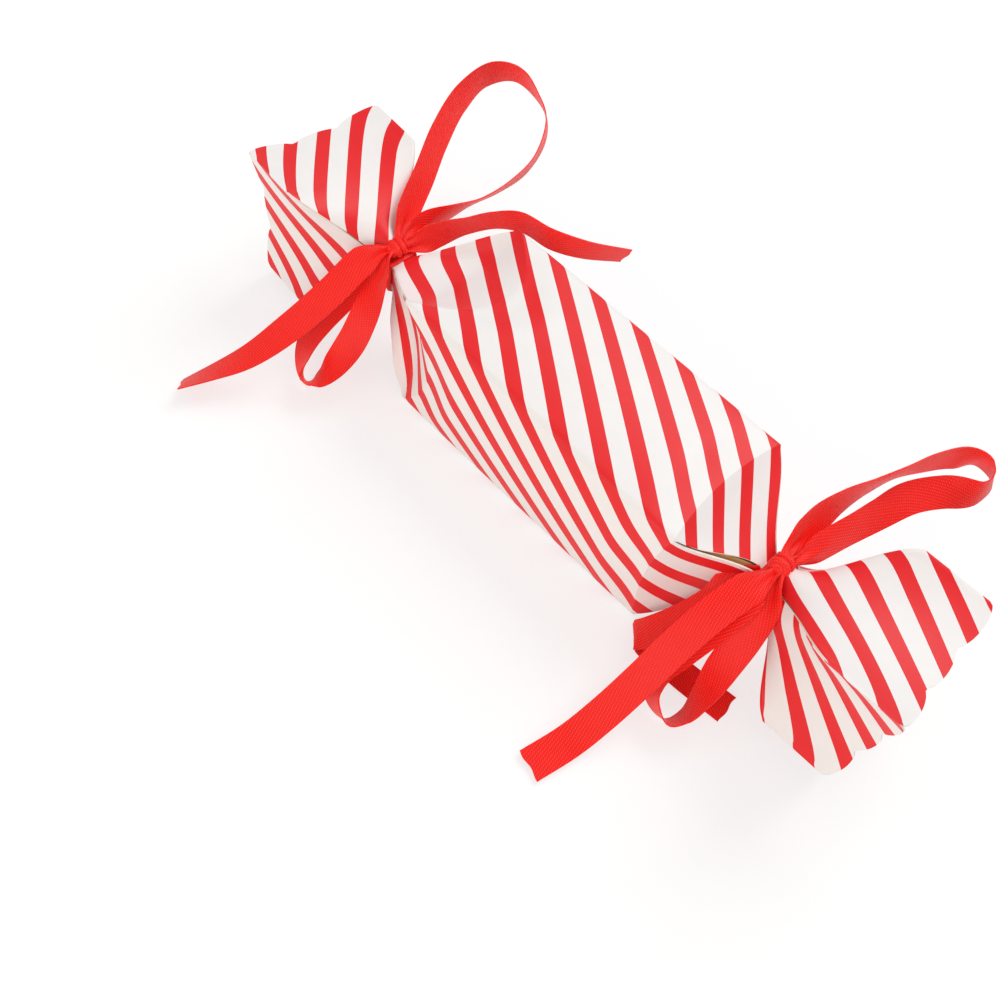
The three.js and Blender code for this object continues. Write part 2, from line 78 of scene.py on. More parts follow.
def joinPieces(name, pieces):
    deselectAll()
    for piece in pieces:
        piece.select_set(True)
    bpy.context.view_layer.objects.active = pieces[0]
    bpy.ops.object.join()
    pieces[0].name = name
    return pieces[0]


def weld(piece, outwards=False, distance=0.00002):  # merges points closer than distance, in metres
    makeActive(piece)
    bpy.ops.object.mode_set(mode="EDIT")
    bpy.ops.mesh.select_all(action="SELECT")
    bpy.ops.mesh.remove_doubles(threshold=distance)
    if outwards:
        bpy.ops.mesh.normals_make_consistent(inside=False)
    bpy.ops.object.mode_set(mode="OBJECT")


def addWall(piece, thickness, offset=-1):  # in mm, behind the faces at -1 and to both sides at 0
    wall = piece.modifiers.new("wall", "SOLIDIFY")
    wall.thickness = thickness / 1000
    wall.offset = offset
    return wall


# A grid of rows by columns, shaped by placeOf(row, column), which gives a point and a flat place in mm
def shapedGrid(name, rows, columns, placeOf):
    deselectAll()
    bpy.ops.mesh.primitive_grid_add(x_subdivisions=rows, y_subdivisions=columns, size=2)
    piece = bpy.context.object
    piece.name = name
    mesh = piece.data
    flat = [None] * len(mesh.vertices)
    for vertex in mesh.vertices:
        row = round((vertex.co.x + 1) / 2 * rows)
        column = round((vertex.co.y + 1) / 2 * columns)
        point, flat[vertex.index] = placeOf(row, column)
        vertex.co = point / 1000
    uv = mesh.uv_layers[0]
    uv.name = "flatSheet"
    for loop in mesh.loops:
        uv.data[loop.index].uv = flat[loop.vertex_index]
    return piece


# Adds a node with its settings and links; a number stands for an input that shares its name with others,
# such as 6 and 7 for the two colours of a mix
def addNode(tree, kind, values=None, links=None):
    node = tree.nodes.new(kind)
    for key, value in (values or {}).items():
        if isinstance(key, str) and hasattr(node, key):
            setattr(node, key, value)
        else:
            node.inputs[key].default_value = value
    for key, socket in (links or {}).items():
        tree.links.new(socket, node.inputs[key])
    return node


def newMaterial(name):
    material = bpy.data.materials.new(name)
    material.use_nodes = True
    tree = material.node_tree
    tree.nodes.clear()
    shader = addNode(tree, "ShaderNodeBsdfPrincipled")
    addNode(tree, "ShaderNodeOutputMaterial", links={"Surface": shader.outputs[0]})
    return material, tree, shader


# Links a material's colour and relief, and sets the plain sockets that its look names
def finishMaterial(tree, shader, colour, height, look):
    tree.links.new(colour.outputs[2], shader.inputs["Base Color"])
    bump = addNode(tree, "ShaderNodeBump", {"Strength": look["bump"], "Distance": look["relief"]},
                   {"Height": height.outputs[0]})
    tree.links.new(bump.outputs[0], shader.inputs["Normal"])
    for socket, value in look["plain"].items():
        shader.inputs[socket].default_value = value


def dress(piece, *materials):
    piece.data.materials.clear()
    for material in materials:
        piece.data.materials.append(material)


# Camera at the photograph's angle: place and clip in metres, lens and sensor in mm
view = {
    "place": (0.09443, -0.16299, 0.27533),
    "right": (0.6916, 0.7142, 0.1078),
    "up": (-0.6563, 0.5589, 0.5069),
    "back": (0.3017, -0.4213, 0.8553),
    "lens": 34.9, "sensor": 36, "clipStart": 0.01,
}
bpy.ops.object.camera_add(location=view["place"])
camera = bpy.context.object
camera.name = "camera"
camera.rotation_euler = Matrix((view["right"], view["up"], view["back"])).transposed().to_euler()
camera.data.lens = view["lens"]
camera.data.sensor_width = view["sensor"]
camera.data.clip_start = view["clipStart"]
scene.camera = camera
print("camera set")

# The folded sheet, in mm, as it is in the frame
card = {
    "panel": 50, "body": 110, "thickness": 0.5,
    "taper": 24, "flareTaper": 25, "flareBand": 24,  # body to neck, neck to full section, on to the rim
    "neckHalf": 5.2, "neckFlat": 3.8, "tearGap": 0.3,  # half the neck's section, its straight part, the tear
    "lobes": 3, "lobeDepth": 3,  # scallops on each panel's rim
    "sharpness": 0.75, "flareSharpness": 0.4,  # of the tapers: 1 is straight, 0 an even S
    "bow": (2.4, 2.4, 0, 2.4), "bowFade": 15,  # how far each panel bows out along the body
    "edgeGap": 0.35, "slotStart": 0.85, "slotPeak": 1.8,  # the slits along the tapers' folds
    "foldRound": 1.6, "roundFade": 7,  # the box's rounded folds, which turn sharp past the body
    "pinchRoom": 0.85, "pinchSlope": 0.8, "pinchBlend": 1.2,  # for the wall where panels fold face to face
    "finRise": 9, "finStart": 15, "finFall": 6, "finSharpness": 3, "finSpread": 0.7,  # the gathered corner
    "leanLength": 14,  # past the neck, until a flare has its full lean
    "crowding": 1.25,  # how much closer the mesh's columns stand beside the folds
    "arcSteps": 500, "smoothAngle": 28,
}
bodyMesh = {"neck": 3, "fold": 26, "fade": 9, "middle": 16, "columns": 28}  # rows of each zone
flareMesh = {"neck": 3, "taper": 24, "band": 12, "columns": 36}
# Each end: where its neck is, how its flare leans in degrees, and how its panels buckle
ends = {
    "left": {
        "side": -1, "reach": 1.7, "neckY": -5.5, "neckZ": 5.9,
        "yaw": 6.2, "pitch": 2.2, "roll": -0.3, "shear": -0.02, "dip": 3.7, "nearFin": 3,
        "bulge": (20, 12, 5, 6), "opening": (2.4, 1.6, 2, 2.4), "slots": {},
    },
    "right": {
        "side": 1, "reach": 0, "neckY": -1.4, "neckZ": 7,
        "yaw": 1.5, "pitch": 0.5, "roll": -1, "shear": -0.05, "dip": 5, "nearFin": 0,
        "bulge": (3, 3, 3, 3), "opening": (2.2, 2, 2.4, 2.4),
        "slots": {(0, -1): 3, (0, 1): 1, (3, -1): 0.7},  # panel and side of it: widest cut back
    },
}
half = card["panel"] / 2
taperEnd = card["taper"] - card["neckFlat"]
flareStart = card["taper"] + card["flareTaper"]
panelNormal = ((0, 1), (-1, 0), (0, -1), (1, 0))  # top, near, bottom, far, as y and z
panelAcross = ((1, 0), (0, 1), (-1, 0), (0, -1))
panelMiddle = (half, 3 * half, 5 * half, -half)  # on the flat sheet


def neckPlace(end):
    x = end["side"] * (card["body"] / 2 + card["taper"] + end["reach"])
    return x, end["neckY"], half + end["neckZ"]


def ease(x, sharpness):
    swell = (1 - math.cos(math.pi * clamp(x))) / 2
    return sharpness * clamp(x) + (1 - sharpness) * swell


# From the axis to the fold line, or to a panel that folds in sooner by lead
def foldOffset(along, lead=0.0):
    if along <= card["taper"]:
        closed = ease((along + lead) / (taperEnd + lead), card["sharpness"])
        return half - (half - card["neckHalf"]) * closed
    past = along - card["taper"] - card["neckFlat"]
    opened = ease(past / (card["flareTaper"] - card["neckFlat"]), card["flareSharpness"])
    return card["neckHalf"] + (half - card["neckHalf"]) * opened


# How far into the body a panel's curved crease reaches, 0 at the folds
def creaseReach(end, panel, u):
    return end["bulge"][panel] * (1 - u * u)


# From the axis to a panel; along counts from the body's end, and u runs from -1 to 1 between its folds
def panelOffset(end, panel, along, u):
    middle = 1 - u * u
    fold = foldOffset(along)
    if along > card["taper"]:
        # The folds open to the full section by the end of the taper, but the panel's middle only at the rim
        opened = clamp((along - taperEnd) / (card["flareTaper"] + card["flareBand"] + card["neckFlat"]))
        risen = 1 - (1 - opened) ** end["opening"][panel]
        valley = card["neckHalf"] + (half - end["dip"] - card["neckHalf"]) * risen
        offset = fold + middle * (valley - fold)
    else:
        lead = creaseReach(end, panel, u)
        bowed = smooth((-along - lead) / card["bowFade"])
        offset = foldOffset(along, lead) + card["bow"][panel] * middle * bowed
    # The panels on both sides of a fold can meet face to face, but not pass through each other
    room = min(card["pinchRoom"], card["pinchSlope"] * fold * (1 - abs(u)))
    least = abs(u) * fold + room
    blend = card["pinchBlend"] * middle
    return (offset + least + math.hypot(offset - least, blend)) / 2


# Half the width of a panel's strip on one side: full in body and band, cut back along the neck's slots
def stripHalf(end, panel, along, side):
    edge = foldOffset(along)
    if along <= 0 or along >= flareStart:
        return edge
    onBody = along < card["taper"]
    slot = end["slots"].get((panel, side), card["edgeGap"]) if onBody else card["edgeGap"]
    start = along if onBody else flareStart - along
    wide = smooth(start / card["slotStart"])
    mouth = math.sin(math.pi * clamp(start / card["taper"]) ** card["slotPeak"])  # widest near the neck
    return edge - card["edgeGap"] * wide - (slot - card["edgeGap"]) * mouth * wide


# The gathered corner between the near and the bottom panel stands out as a fin before it reaches the neck
def finReach(end, panel, along, u):
    if along <= 0:
        return 0
    corner = {1: -u, 2: u}.get(panel, 0)
    rise = smooth(along / card["finRise"])
    fall = smooth((along - card["finStart"]) / card["finFall"])
    return end["nearFin"] * rise * (1 - fall) * max(0.0, corner) ** card["finSharpness"]


# Places across a panel, closer together beside its folds, from -1 to 1
def acrossPart(column, columns):
    return math.sin(card["crowding"] * (2 * column / columns - 1)) / math.sin(card["crowding"])


# A place on a folded panel, and how far it is across the flat sheet from the panel's middle
def foldPoint(end, panel, along, u):
    offset = panelOffset(end, panel, along, u)
    low = stripHalf(end, panel, along, -1)
    high = stripHalf(end, panel, along, 1)
    across = u * (low + (high - low) * (u + 1) / 2)
    # The box's folds are rounded: near one, the card leaves the flat on an arc of 45 degrees
    arc = math.pi / 4
    radius = card["foldRound"] * (1 - smooth(along / card["roundFade"]))
    bent = max(0.0, 1 - (1 - abs(u)) * half / max(radius, 0.01)) * arc
    inward = math.copysign(radius * (bent / arc - math.sin(bent)), u)
    offset -= radius * (1 - math.cos(bent))
    y = panelNormal[panel][0] * offset + panelAcross[panel][0] * (across - inward)
    z = panelNormal[panel][1] * offset + panelAcross[panel][1] * (across - inward)
    if along <= card["taper"]:
        drawn = smooth(along / taperEnd)  # how far the section has moved over to its neck
        stretch = 1 + end["reach"] / card["taper"] if along > 0 else 1
        x = end["side"] * (card["body"] / 2 + along * stretch)
        fin = card["finSpread"] * finReach(end, panel, along, u)
        return Vector((x, end["neckY"] * drawn + y - fin, half + end["neckZ"] * drawn + z - fin)), across
    past = along - card["taper"]
    leant = smooth(past / card["leanLength"])
    lean = Matrix.Rotation(math.radians(end["side"] * end["yaw"] * leant), 3, "Z")
    lean = lean @ Matrix.Rotation(math.radians(end["side"] * end["pitch"] * leant), 3, "Y")
    lean = lean @ Matrix.Rotation(math.radians(end["roll"] * leant), 3, "X")
    shear = end["shear"] * leant
    return Vector(neckPlace(end)) + lean @ Vector((end["side"] * past, y + shear * z, z + shear * y)), across


# How far along the flat sheet a place is: the arc length from the middle of the body, along its own line
arcTables = {}


def flatAlong(end, panel, along, u):
    key = (end["side"], panel, round(u, 5))
    if key not in arcTables:
        steps = np.linspace(-card["body"] / 2, flareStart + card["flareBand"], card["arcSteps"])
        offsets = np.array([panelOffset(end, panel, a, u) for a in steps])
        rise = np.hypot(np.diff(steps), np.diff(offsets))
        arcTables[key] = (steps, np.concatenate([[0], np.cumsum(rise)]))
    steps, lengths = arcTables[key]
    return end["side"] * float(np.interp(along, steps, lengths))


# A place on the folded card, and the same place on the flat sheet
def cardPlace(end, panel, along, u):
    point, across = foldPoint(end, panel, along, u)
    return point, (flatAlong(end, panel, along, u), panelMiddle[panel] - across)


def rimCut(u):
    place = (u + 1) / 2 * card["lobes"]
    w = 2 * (place - math.floor(place)) - 1
    return card["lobeDepth"] * (1 - math.sqrt(max(0.0, 1 - w * w)))


# Rows of the body from one tear line to the other, so that a row lies on each curved crease
def bodyRows():
    rows = []
    for end, order in ((ends["left"], 1), (ends["right"], -1)):
        run = []
        for zone in ("neck", "fold", "fade", "middle"):
            run += [(end, zone, i / bodyMesh[zone]) for i in range(bodyMesh[zone])]
        if order > 0:
            run.append((end, "middle", 1.0))
        rows += run[::order]
    return rows


def bodyAlong(end, zone, part, panel, u):
    crease = -creaseReach(end, panel, u)
    if zone == "neck":
        start, stop = card["taper"] - card["tearGap"] / 2, taperEnd
    elif zone == "fold":
        start, stop = taperEnd, crease
    elif zone == "fade":
        start, stop = crease, crease - card["bowFade"]
    else:
        start, stop = crease - card["bowFade"], -card["body"] / 2
    return start + (stop - start) * part


# The sheet's narrow tab inside the fold at the near side, which shows as kraft through the slot
tab = {"start": 6, "stop": 0.5, "reach": 2.9, "sink": 0.95, "rows": 12, "columns": 4, "flatShift": 200}


def buildTab(end):
    def placeOf(row, column):
        along = tab["start"] + (taperEnd - tab["start"] - tab["stop"]) * row / tab["rows"]
        edge = foldOffset(along)
        part = column / tab["columns"]
        down = tab["sink"] + (tab["reach"] - tab["sink"]) * (1 - part)
        inward = tab["sink"] + (tab["reach"] - tab["sink"]) * part
        drawn = smooth(along / taperEnd)
        x = end["side"] * (card["body"] / 2 + along)
        place = Vector((x, end["neckY"] * drawn - edge + inward, half + end["neckZ"] * drawn + edge - down))
        return place, (tab["flatShift"] + along, 0)
    piece = shapedGrid("tab", tab["rows"], tab["columns"], placeOf)
    dress(piece, kraftBack)
    addWall(piece, card["thickness"])
    applyAll(piece)
    return piece


def buildBody():
    rows = bodyRows()
    panels = []
    for panel in range(4):
        def placeOf(row, column):
            end, zone, part = rows[row]
            u = acrossPart(column, bodyMesh["columns"])
            return cardPlace(end, panel, bodyAlong(end, zone, part, panel, u), u)
        panels.append(shapedGrid("panel", len(rows) - 1, bodyMesh["columns"], placeOf))
    return joinPieces("wrapperBody", panels)


def buildFlare(word):
    end = ends[word]
    bandStart = flareMesh["neck"] + flareMesh["taper"]
    total = bandStart + flareMesh["band"]
    neckStart = card["tearGap"] / 2
    panels = []
    for panel in range(4):
        def placeOf(row, column):
            u = acrossPart(column, flareMesh["columns"])
            row = row if end["side"] > 0 else total - row
            if row <= flareMesh["neck"]:
                past = neckStart + (card["neckFlat"] - neckStart) * row / flareMesh["neck"]
            elif row <= bandStart:
                part = (row - flareMesh["neck"]) / flareMesh["taper"]
                past = card["neckFlat"] + (card["flareTaper"] - card["neckFlat"]) * part
            else:
                part = (row - bandStart) / flareMesh["band"]
                past = card["flareTaper"] + (card["flareBand"] - rimCut(u)) * part
            return cardPlace(end, panel, card["taper"] + past, u)
        panels.append(shapedGrid("panel", total, flareMesh["columns"], placeOf))
    return joinPieces("wrapper" + word.capitalize(), panels)


def finishCard(piece):
    weld(piece)
    wall = addWall(piece, card["thickness"])
    wall.material_offset = 1  # kraft inside
    wall.material_offset_rim = 2  # white along the cut edges
    applyAll(piece)
    bpy.ops.object.shade_smooth_by_angle(angle=math.radians(card["smoothAngle"]))


# Coated folding card: the print has a satin varnish, so its gloss is soft and a little uneven
stripes = {
    "pitch": 18.15, "red": 0.43, "start": -10.1,  # mm along the sheet, and the red's share
    "advance": 69.0,  # mm along the sheet for each panel round it
    "soft": 0.12,  # the print's edge, in mm
    "ink": ("E61C22", "EE2428"), "board": ("F1EEEC", "F6F4F3"),
    "blotches": 160, "grains": 2600,  # to the metre: blotches of 6 mm in the print, grain of 0.4 mm
    "gloss": (0.36, 0.6), "bump": 0.22, "relief": 0.00006, "plain": {"Specular IOR Level": 0.34},
}


def stripedCard():
    material, tree, shader = newMaterial("varnishedStripedCard")
    flat = addNode(tree, "ShaderNodeUVMap", {"uv_map": "flatSheet"})
    place = addNode(tree, "ShaderNodeSeparateXYZ", links={0: flat.outputs[0]})
    slant = stripes["advance"] / card["panel"]  # mm along for each mm round the sheet
    slope = addNode(tree, "ShaderNodeMath", {"operation": "MULTIPLY", 1: -slant}, {0: place.outputs[1]})
    run = addNode(tree, "ShaderNodeMath", {"operation": "ADD"}, {0: place.outputs[0], 1: slope.outputs[0]})
    shift = slant * card["panel"] - stripes["start"]
    count = addNode(tree, "ShaderNodeMath", {"operation": "ADD", 1: shift}, {0: run.outputs[0]})
    turns = addNode(tree, "ShaderNodeMath", {"operation": "DIVIDE", 1: stripes["pitch"]},
                    {0: count.outputs[0]})
    part = addNode(tree, "ShaderNodeMath", {"operation": "FRACT"}, {0: turns.outputs[0]})
    soft = stripes["soft"] / stripes["pitch"]
    mask = addNode(tree, "ShaderNodeMath", {"operation": "MULTIPLY"})
    for i, start in enumerate((0.0, stripes["red"])):  # where the red begins, and where it ends
        edge = addNode(tree, "ShaderNodeMapRange",
                       {"interpolation_type": "SMOOTHSTEP", 1: start, 2: start + soft, 3: i, 4: 1 - i},
                       {0: part.outputs[0]})
        tree.links.new(edge.outputs[0], mask.inputs[i])
    where = addNode(tree, "ShaderNodeTexCoord")
    blotch = addNode(tree, "ShaderNodeTexNoise", {"Scale": stripes["blotches"], "Detail": 3.0},
                     {"Vector": where.outputs["Object"]})
    grain = addNode(tree, "ShaderNodeTexNoise", {"Scale": stripes["grains"], "Detail": 2.0},
                    {"Vector": where.outputs["Object"]})
    colour = addNode(tree, "ShaderNodeMix", {"data_type": "RGBA"}, {0: mask.outputs[0]})
    for i, layer in ((6, "board"), (7, "ink")):
        dark, light = [hexColour(text) for text in stripes[layer]]
        mixed = addNode(tree, "ShaderNodeMix", {"data_type": "RGBA", 6: dark, 7: light},
                        {0: blotch.outputs[0]})
        tree.links.new(mixed.outputs[2], colour.inputs[i])
    gloss = addNode(tree, "ShaderNodeMapRange", {3: stripes["gloss"][0], 4: stripes["gloss"][1]},
                    {0: grain.outputs[0]})
    tree.links.new(gloss.outputs[0], shader.inputs["Roughness"])
    finishMaterial(tree, shader, colour, grain, stripes)
    return material


# Uncoated board: matt, with fibres of about half a millimetre and soft clouds
boardLook = {
    "fibre": 0.4, "clouds": 220,  # mm, and to the metre
    "spread": (0.12, 0.4), "bump": 0.3, "relief": 0.00008, "plain": {"Roughness": 0.82},
}


def kraftBoard(name, dark, light, fibreSize=boardLook["fibre"]):
    material, tree, shader = newMaterial(name)
    where = addNode(tree, "ShaderNodeTexCoord")
    fibre = addNode(tree, "ShaderNodeTexNoise", {"Scale": 1000 / fibreSize, "Detail": 4.0, "Roughness": 0.65},
                    {"Vector": where.outputs["Object"]})
    cloud = addNode(tree, "ShaderNodeTexNoise", {"Scale": boardLook["clouds"], "Detail": 2.0},
                    {"Vector": where.outputs["Object"]})
    both = addNode(tree, "ShaderNodeMath", {"operation": "MULTIPLY"},
                   {0: fibre.outputs[0], 1: cloud.outputs[0]})
    low, high = boardLook["spread"]
    spread = addNode(tree, "ShaderNodeMapRange", {1: low, 2: high, 3: 0.0, 4: 1.0}, {0: both.outputs[0]})
    colour = addNode(tree, "ShaderNodeMix", {"data_type": "RGBA", 6: hexColour(dark), 7: hexColour(light)},
                     {0: spread.outputs[0]})
    finishMaterial(tree, shader, colour, fibre, boardLook)
    return material


printedCard = stripedCard()
kraftBack = kraftBoard("kraftBack", "C4985C", "DDB87E")
cutEdge = kraftBoard("whiteCutEdge", "EFE6DA", "FBF7F1", 0.3)
for piece, node, body in ((buildBody(), "wrapper_body", "wrapper"),
                          (buildFlare("left"), "wrapper_left_end", "left_end"),
                          (buildFlare("right"), "wrapper_right_end", "right_end")):
    dress(piece, printedCard, kraftBack, cutEdge)
    finishCard(piece)
    if node == "wrapper_body":
        joinPieces(piece.name, [piece, buildTab(ends["right"])])
    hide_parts(node)
    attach(piece, body)
print("card folded and printed")

# Ribbon tied in a bow at each neck, in mm
ribbon = {
    "width": 10, "thickness": 0.4, "columns": 20, "step": 0.8, "smoothAngle": 50,
    "gatheredWidth": 3.6, "gatherLength": 11,  # at the knot, and until the ribbon has its full width
    "pleat": 0.85, "pleatLength": 17, "pleatSharpness": 1.5, "pleatWaves": 1.6,
    "pleatStart": 0.5, "pleatShift": 1.7,  # where the pleats' wave stands, and how far on for each stretch
    "cup": 1.3, "cupLength": 34, "cupStart": 8, "cupLevel": 0.4,
    "bowHeight": 30,  # from the neck to the table, as the stations have it
    "tuck": 0.45,  # share of the way from the knot's middle to a first station
    "fray": 0.55, "frayBeat": 12.9898,
    "routeSteps": 600, "tangentStep": 0.002,
}
# Stations of each stretch: a point from the neck's middle, then the direction across the ribbon
leftBow = {
    "big_loop": [
        (-3.6, 4.6, 9.6, 0.38, 0.36, -0.83), (-8.5, 12.7, 12.8, 0.39, 0.51, -0.77),
        (-14.4, 24.4, 16.1, 0.41, 0.44, -0.8), (-23.5, 39.8, 19.1, 0.42, 0.34, -0.84),
        (-31.9, 57.8, 21.1, 0.3, 0.18, -0.94), (-34.4, 73.9, 22.1, -0.05, -0.03, -1),
        (-29, 84.3, 20.1, -0.37, 0.28, -0.89), (-15.5, 82.9, 17.1, -0.03, 0.46, -0.89),
        (-6.2, 75.9, 15.1, -0.02, 0.21, -0.98), (1.1, 61, 12.1, -0.28, 0.08, -0.96),
        (2.3, 47.1, 10.6, -0.48, 0.1, -0.87), (1.4, 35.6, 10.1, -0.58, 0.12, -0.81),
        (-0.2, 24.2, 9.8, -0.3, 0.04, -0.95), (-1.3, 13.8, 10.2, 0.1, 0.01, -0.99),
        (-1, 4.2, 10.1, 0.25, 0.01, -0.97),
    ],
    "small_loop": [
        (0.8, -5.1, 8.2, -0.8, -0.15, -0.5), (3.8, -11.2, 3.9, -0.88, -0.08, -0.46),
        (7.3, -20.4, -3.6, -0.97, -0.25, 0.06), (8.5, -26.9, -10.6, -0.93, -0.28, 0.24),
        (8.5, -34, -16.4, -1, 0.08, 0.05), (6.9, -39.7, -21.3, -0.78, 0.54, -0.31),
        (4, -43.4, -22.7, -0.33, 0.45, -0.83), (-1.3, -40.9, -21.7, -0.51, -0.11, -0.85),
        (-5.2, -35.8, -18.3, -0.92, -0.05, -0.39), (-6, -28.8, -13.5, -0.99, 0.13, -0.07),
        (-4.9, -18.3, -5.8, -0.99, 0.11, 0.1), (-1.9, -6.9, 6.2, -0.99, 0.1, 0.09),
    ],
    "long_tail": [
        (-1.6, -5.4, 9.8, -0.95, 0.03, 0.31), (-3, -12, 8.3, -0.94, 0.02, 0.35),
        (-3.8, -25.9, 1.2, -0.94, 0.02, 0.35), (-6.9, -40.5, -7.7, -0.95, 0.12, 0.3),
        (-12, -53.7, -16.4, -0.91, 0.42, 0.04), (-18.1, -64.3, -22.2, -0.78, 0.55, -0.29),
        (-23.4, -75.3, -25.9, -0.62, 0.53, -0.57),
    ],
    "short_tail": [
        (1.4, 4.4, 8.4, 0.45, -0.11, -0.8), (3.9, 15.6, 8.7, 0.19, 0.05, -0.98),
        (7.1, 25, 9.2, -0.1, 0.24, -0.96), (12.5, 32.9, 11.1, -0.01, 0.34, -0.94),
        (20.3, 37.7, 13.1, 0.08, 0.18, -0.98), (32.5, 39.3, 14.1, -0.04, 0.09, -1),
        (42.4, 45.7, 13.1, -0.25, 0.05, -0.97), (51.6, 57.8, 10.1, -0.41, 0.09, -0.91),
    ],
}
rightBow = {
    "big_loop": [
        (-1.4, 4.6, 9.1, 0.6, 0.2, -0.76), (-1.9, 16.5, 12, 0.65, 0.22, -0.73),
        (-0.4, 27.1, 14.2, 0.35, 0.17, -0.92), (2.3, 35.9, 16, 0.05, 0.2, -0.98),
        (5.6, 45.3, 18, -0.09, 0.19, -0.98), (9.7, 54.6, 19, 0.04, 0.04, -1),
        (14.8, 63.4, 19, 0.04, -0.13, -0.99), (21.1, 69.1, 17.5, -0.16, 0.35, -0.86),
        (25.9, 67.5, 16, 0.2, 0.47, -0.86), (25.7, 61.7, 14.5, 0.29, 0.05, -0.95),
        (18.4, 55, 13, 0.68, -0.48, -0.55), (12.4, 45.7, 12, 0.85, -0.33, -0.41),
        (9.2, 34, 11, 0.73, -0.13, -0.67), (6.5, 22.5, 10.5, 0.6, -0.09, -0.79),
        (2.2, 4.7, 9.4, 0.6, -0.07, -0.8),
    ],
    "small_loop": [
        (1.9, -4.9, 7.5, -0.92, 0.1, -0.39), (4.4, -11.1, 3.1, -0.99, -0.07, -0.1),
        (6.2, -18.5, -3.3, -0.99, -0.06, -0.1), (7.2, -25.9, -11.4, -0.98, 0.07, -0.21),
        (8.4, -33.1, -18.1, -0.74, 0.4, -0.55), (8.8, -39.4, -22.5, -0.43, 0.46, -0.77),
        (6.5, -44.1, -23.8, -0.25, 0.46, -0.85), (0.8, -43.8, -22.9, -0.3, 0.22, -0.93),
        (-3.4, -41, -20.9, -0.67, 0.24, -0.7), (-4.9, -36.3, -17.1, -0.82, 0.4, -0.42),
        (-3.7, -30.2, -11.9, -0.87, 0.41, -0.27), (-1.2, -19.3, -1.8, -0.89, 0.33, -0.32),
        (-0.6, -7.6, 6.4, -0.98, 0.12, -0.12),
    ],
    "long_tail": [
        (-0.6, -4.5, 9.2, -0.95, 0.2, -0.2), (-2.3, -12.9, 7.4, -0.97, 0.23, -0.08),
        (-4.4, -23.2, 1.8, -0.99, 0.13, 0.05), (-5.8, -33.9, -5.7, -0.99, 0.03, 0.1),
        (-6.7, -45.2, -14.3, -1, 0.02, 0.1), (-7.8, -56.7, -21.4, -0.99, 0.06, 0.11),
        (-9.5, -68.3, -26.7, -0.98, 0.15, 0.14), (-12.6, -82, -28.6, -0.97, 0.21, 0.07),
    ],
    "short_tail": [
        (-6.4, -9.4, 2.7, -0.93, 0.3, 0.1), (-7.6, -16.2, -4.6, -0.77, 0.64, 0.05),
        (-11.6, -23.1, -14.1, -0.7, 0.71, 0.1), (-16.1, -28.6, -21.9, -0.73, 0.68, 0.08),
        (-18.6, -30.1, -26.1, -0.6, 0.68, -0.33), (-12.2, -27.9, -28.4, -0.15, 0.99, -0.02),
        (0.5, -26.7, -29.3, -0.11, 0.99, 0.02), (16.4, -24.9, -29.3, -0.09, 0.99, 0.02),
    ],
}


# A point of the centripetal Catmull-Rom curve through the points, t from 0 to 1
def curvePoint(points, t):
    last = len(points) - 1
    i = min(int(t * last), last - 1)
    w = t * last - i
    p1, p2 = points[i], points[i + 1]
    p0 = points[i - 1] if i > 0 else p1 * 2 - p2
    p3 = points[i + 2] if i + 2 <= last else p2 * 2 - p1
    d0, d1, d2 = (max((b - a).length, 1e-6) ** 0.5 for a, b in ((p0, p1), (p1, p2), (p2, p3)))
    t1 = ((p1 - p0) / d0 - (p2 - p0) / (d0 + d1) + (p2 - p1) / d1) * d1
    t2 = ((p2 - p1) / d1 - (p3 - p1) / (d1 + d2) + (p3 - p2) / d2) * d1
    return p1 + t1 * w + (3 * (p2 - p1) - 2 * t1 - t2) * w * w + (2 * (p1 - p2) + t1 + t2) * w ** 3


# Frames along a route at even steps: middle, across, normal and arc length, in mm
def routeFrames(stations, neck, isLoop):
    heart = Vector((0, 0, knotShape["rise"]))
    inside = [heart + (Vector(stations[i][:3]) - heart) * ribbon["tuck"] for i in (0, -1)]
    stations = [(*inside[0], *stations[0][3:])] + list(stations)
    if isLoop:
        stations.append((*inside[1], *stations[-1][3:]))
    drop = neck[2] / ribbon["bowHeight"]  # stretches what hangs below the neck down to the table
    middles = []
    for x, y, z in (station[:3] for station in stations):
        middles.append(Vector((neck[0] + x, neck[1] + y, neck[2] + z * (drop if z < 0 else 1))))
    acrosses = [Vector(station[3:]) for station in stations]
    fine = [i / ribbon["routeSteps"] for i in range(ribbon["routeSteps"] + 1)]
    track = [curvePoint(middles, t) for t in fine]
    lengths = [0.0]
    for a, b in zip(track, track[1:]):
        lengths.append(lengths[-1] + (b - a).length)
    count = max(8, round(lengths[-1] / ribbon["step"]))
    frames = []
    for i in range(count + 1):
        want = lengths[-1] * i / count
        t = float(np.interp(want, lengths, fine))
        middle = curvePoint(middles, t)
        before = curvePoint(middles, max(0, t - ribbon["tangentStep"]))
        after = curvePoint(middles, min(1, t + ribbon["tangentStep"]))
        tangent = (after - before).normalized()
        across = curvePoint(acrosses, t)
        across = (across - tangent * across.dot(tangent)).normalized()
        frames.append((middle, across, tangent.cross(across), want))
    return frames


